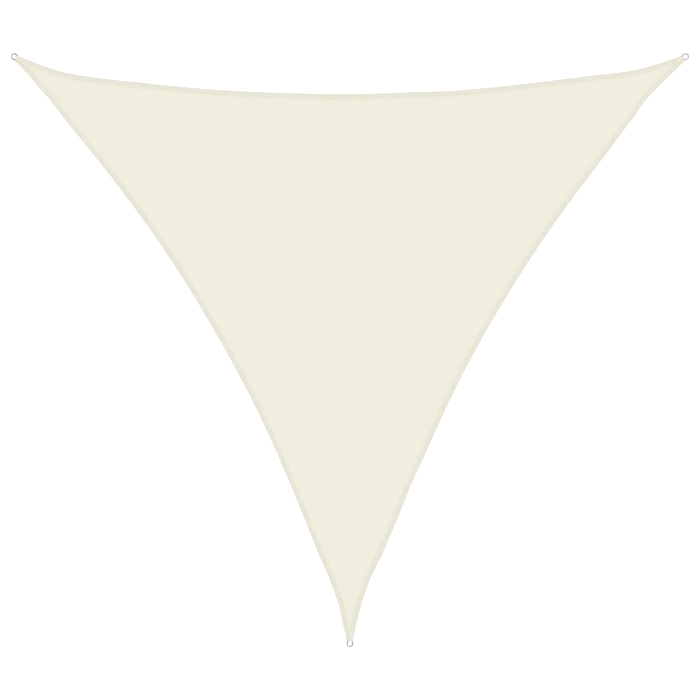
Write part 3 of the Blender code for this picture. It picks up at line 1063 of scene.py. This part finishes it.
def cloth_finish():
    """Knitted polyethylene cloth: rows of loops, uneven tone, deeper colour where doubled, and
    painted shade at the fold, in the stitch grooves and in the hem's puckers.
    """
    shades = colours()
    material, start, shader = new_finish("knitted_cloth", {"Specular IOR Level": 0.3})
    place = place_on_piece(start)
    x, y = (start.node("ShaderNodeSeparateXYZ", {}, {0: place}, axis) for axis in "XY")
    from_edge, folded = attribute(start, "from_edge"), attribute(start, "folded")

    beside = x.math("PINGPONG", x, CHAIN_PITCH / 2)
    chain = 1 - beside.between(*CHAIN_SIDE)
    loops = (y + beside * LOOP_SLANT).wave(LOOP_PITCH)
    tapes = (y + x * TAPE_SLANT).wave(TAPE_PITCH)
    knit = chain * (0.6 + 0.4 * loops) + (1 - chain) * (0.4 * tapes)
    # The hem's puckers: a bump, and painted shade from the same noise, darker where a pucker sinks
    # and lighter where it rises
    pucker_relief_and_shade = (noise(place, PUCKER_SPOTS, detail=1) - 0.5) * folded
    broad = noise(place, BROAD_SPOTS, detail=2)
    cloudy = noise(place, CLOUDY_SPOTS, detail=3)

    beside_hem = 1 - from_edge.between(*BESIDE_TONE)
    tone = beside_hem.mix(rgba(shades.panel), rgba(shades.inside_hem))
    doubled = 1 - from_edge.between(*HEM_TONE)
    tone = doubled.mix(tone, rgba(shades.hem))
    # Painted shade: the hem's outer band along the rounded fold takes the darker, greyer fold colour
    fold_shade = (1 - from_edge.between(*FOLD_SHADE_TONE)) * folded
    tone = fold_shade.mix(tone, rgba(shades.fold))
    # sewn: painted shade in the stitch grooves, darkening the hem along both rows of stitches
    rows = [abs(from_edge - row) for row in (sizes().outer_row, sizes().inner_row)]
    sewn = folded * (2 - rows[0].between(*ROW_SHADE) - rows[1].between(*ROW_SHADE))
    light = 0.968 + 0.034 * knit + 0.012 * broad + 0.018 * cloudy + 0.12 * pucker_relief_and_shade - 0.03 * sewn
    feed(light.shade(tone), shader, "Base Color")
    feed(0.66 + cloudy * 0.12 - knit * 0.05, shader, "Roughness")
    weave = knit.bump(strength=0.6, depth=0.25 * MM)
    feed(pucker_relief_and_shade.bump(strength=0.5, depth=0.8 * MM, under=weave), shader, "Normal")
    return material


def thread_finish():
    """Twisted sewing thread, a little shiny."""
    material, start, shader = new_finish("sewing_thread", {"Specular IOR Level": 0.4})
    light = 0.88 + 0.12 * attribute(start, "tone")
    twist = noise(place_on_piece(start), TWIST_SPOTS, detail=1)
    feed(light.shade(colours().thread), shader, "Base Color")
    feed(0.42 + 0.2 * twist, shader, "Roughness")
    feed(twist.bump(strength=0.4, depth=0.1 * MM), shader, "Normal")
    return material


def webbing_finish():
    """Woven polyester webbing: slanting ribs that mirror at its middle, fine yarns."""
    material, start, shader = new_finish("woven_webbing", {"Specular IOR Level": 0.3})
    along, across = attribute(start, "strap_along"), attribute(start, "strap_across")
    beside = abs(across)
    slant = 2 * RIB_SLANT * sizes().web_rib / sizes().web_width  # that of the modelled ribs
    ribs = (along + beside * slant).wave(sizes().web_rib)
    weave = ribs * 0.6 + across.wave(YARN_PITCH) * 0.4
    worn = noise(place_on_piece(start), WORN_SPOTS, detail=3)
    light = 0.92 + 0.08 * weave + 0.05 * worn - 0.04 * beside.between(*WEB_SIDE)
    feed(light.shade(colours().webbing), shader, "Base Color")
    feed(0.62 + 0.2 * worn - 0.08 * ribs, shader, "Roughness")
    feed(weave.bump(strength=0.6, depth=0.2 * MM), shader, "Normal")
    return material


def steel_finish():
    """Drawn stainless wire: satin, with fine scratches and rubbed places."""
    material, start, shader = new_finish("stainless_steel", {"Metallic": 1.0})
    place = place_on_piece(start)
    squeezed = start.node("ShaderNodeMapping", {}, {"Vector": place, "Scale": SCRATCH_SQUEEZE})
    scratches = noise(squeezed, SCRATCH_SPOTS, detail=2)
    rubbed = noise(place, RUBBED_SPOTS, detail=3)
    light = 0.9 + 0.16 * rubbed
    feed(light.shade(colours().steel), shader, "Base Color")
    feed(0.2 + 0.14 * rubbed + 0.08 * scratches, shader, "Roughness")
    feed(scratches.bump(strength=0.15, depth=0.05 * MM), shader, "Normal")
    return material


def finish_piece(piece, material, slot, *nodes):
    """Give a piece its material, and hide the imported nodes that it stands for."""
    piece.data.materials.append(material)
    if nodes:
        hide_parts(*nodes)


# ------------------------------ stage


def make_floor(stage):
    """A wide plain floor, just under the sail."""
    bpy.ops.mesh.primitive_plane_add(size=stage.floor_size, location=(0, 0, -stage.floor_drop))
    floor = bpy.context.object
    floor.name = "floor"
    fixed = {
        "Base Color": rgba(stage.floor),
        "Roughness": 0.9,
        "Specular IOR Level": 0,
        "Emission Color": (1, 1, 1, 1),
        "Emission Strength": stage.floor_glow,
    }
    floor.data.materials.append(new_finish("pale_floor", fixed)[0])


def light_sky(scene, stage):
    """White light, brightest overhead and at the horizon."""
    scene.world = bpy.data.worlds.new("studio")
    scene.world.use_nodes = True
    background = scene.world.node_tree.nodes["Background"]
    background.inputs["Color"].default_value = (1, 1, 1, 1)
    start = Value(scene.world.node_tree)
    towards = start.node("ShaderNodeTexCoord", {}, {}, "Generated")
    up = start.node("ShaderNodeSeparateXYZ", {}, {0: towards}, "Z")
    overhead = stage.low_sky + (1 - stage.low_sky) * up
    horizon = 1 - up.between(*HORIZON_BAND)
    feed(stage.sky * up.math("MAXIMUM", overhead, horizon), background, "Strength")


def add_lamp(scene, stage):
    """One wide soft lamp from the side."""
    data = bpy.data.lights.new("soft_lamp", "SUN")
    data.energy = stage.lamp
    data.angle = stage.lamp_softness
    lamp = bpy.data.objects.new("soft_lamp", data)
    lamp.rotation_euler = (stage.lamp_tilt, 0, stage.lamp_turn)
    scene.collection.objects.link(lamp)


def add_camera(scene, stage):
    """The camera, looking straight down."""
    data = bpy.data.cameras.new("camera")
    data.lens = stage.lens
    data.clip_end = CAMERA_REACH
    scene.camera = bpy.data.objects.new("camera", data)
    scene.camera.location = (*CAMERA_OFFSET, stage.camera_height)
    scene.collection.objects.link(scene.camera)


# ------------------------------ operators


class SHADESAIL_OT_cloth(bpy.types.Operator):
    """Make the cloth with its folded hems"""

    bl_idname = "shade_sail.cloth"
    bl_label = "Cloth"

    def execute(self, context):
        finish_piece(make_cloth(make_borders()), cloth_finish(), "cloth", "sail")
        return {"FINISHED"}


class SHADESAIL_OT_stitching(bpy.types.Operator):
    """Sew the hems and the corners of the cloth"""

    bl_idname = "shade_sail.stitching"
    bl_label = "Stitching"

    def execute(self, context):
        borders = make_borders()
        seams = [("stitching_" + border.name, hem_rows(border), 1) for border in borders]
        for corner in CORNERS.values():
            seams.append(("corner_stitching_" + corner.name, corner_rows(corner), CORNER_STITCH))
        sewn = [
            sew(name, lines, borders, share, seed)
            for seed, (name, lines, share) in enumerate(seams)
        ]
        thread = thread_finish()
        for piece in sewn:
            finish_piece(piece, thread, "cloth")
        cut_area(borders)
        return {"FINISHED"}


class SHADESAIL_OT_webbing(bpy.types.Operator):
    """Make the loop of webbing in each corner"""

    bl_idname = "shade_sail.webbing"
    bl_label = "Webbing Loops"

    def execute(self, context):
        material = webbing_finish()
        length = step_lengths(side_route()).sum()
        for corner in CORNERS.values():
            strap = make_webbing(corner)
            finish_piece(strap, material, "webbing", "loop_" + corner.name)
        return {"FINISHED"}


class SHADESAIL_OT_rings(bpy.types.Operator):
    """Make the steel D-ring of each corner"""

    bl_idname = "shade_sail.rings"
    bl_label = "D-Rings"

    def execute(self, context):
        material = steel_finish()
        for corner in CORNERS.values():
            finish_piece(make_ring(corner), material, "steel", "ring_" + corner.name)
        return {"FINISHED"}


class SHADESAIL_OT_stage(bpy.types.Operator):
    """Set up the pale floor, the soft light and the camera above the sail"""

    bl_idname = "shade_sail.stage"
    bl_label = "Stage"

    def execute(self, context):
        stage = context.scene.shade_sail_stage
        make_floor(stage)
        light_sky(context.scene, stage)
        add_lamp(context.scene, stage)
        add_camera(context.scene, stage)
        context.scene.view_settings.view_transform = "Standard"
        return {"FINISHED"}


OPERATORS = (
    SHADESAIL_OT_cloth,
    SHADESAIL_OT_stitching,
    SHADESAIL_OT_webbing,
    SHADESAIL_OT_rings,
    SHADESAIL_OT_stage,
)
GROUPS = {
    "shade_sail_sizes": ShadeSailSizes,
    "shade_sail_colours": ShadeSailColours,
    "shade_sail_stage": ShadeSailStage,
}


class SHADESAIL_PT_panel(bpy.types.Panel):
    """Lists the steps that build the sail, and its sizes and colours"""

    bl_idname = "SHADESAIL_PT_panel"
    bl_label = "Shade Sail"
    bl_space_type = "VIEW_3D"
    bl_region_type = "UI"
    bl_category = "Shade Sail"

    def draw(self, context):
        for step in OPERATORS:
            self.layout.operator(step.bl_idname)
        for group_name, group in GROUPS.items():
            box = self.layout.box()
            for name in group.__annotations__:
                box.prop(getattr(context.scene, group_name), name)


def register():
    for group_name, group in GROUPS.items():
        bpy.utils.register_class(group)
        setattr(bpy.types.Scene, group_name, PointerProperty(type=group))
    for step in OPERATORS:
        bpy.utils.register_class(step)
    bpy.utils.register_class(SHADESAIL_PT_panel)


def unregister():
    bpy.utils.unregister_class(SHADESAIL_PT_panel)
    for step in reversed(OPERATORS):
        bpy.utils.unregister_class(step)
    for group_name, group in GROUPS.items():
        delattr(bpy.types.Scene, group_name)
        bpy.utils.unregister_class(group)


def main():
    register()
    bpy.ops.shade_sail.cloth()
    bpy.ops.shade_sail.stitching()
    bpy.ops.shade_sail.webbing()
    bpy.ops.shade_sail.rings()
    bpy.ops.shade_sail.stage()


if __name__ == "__main__":
    main()
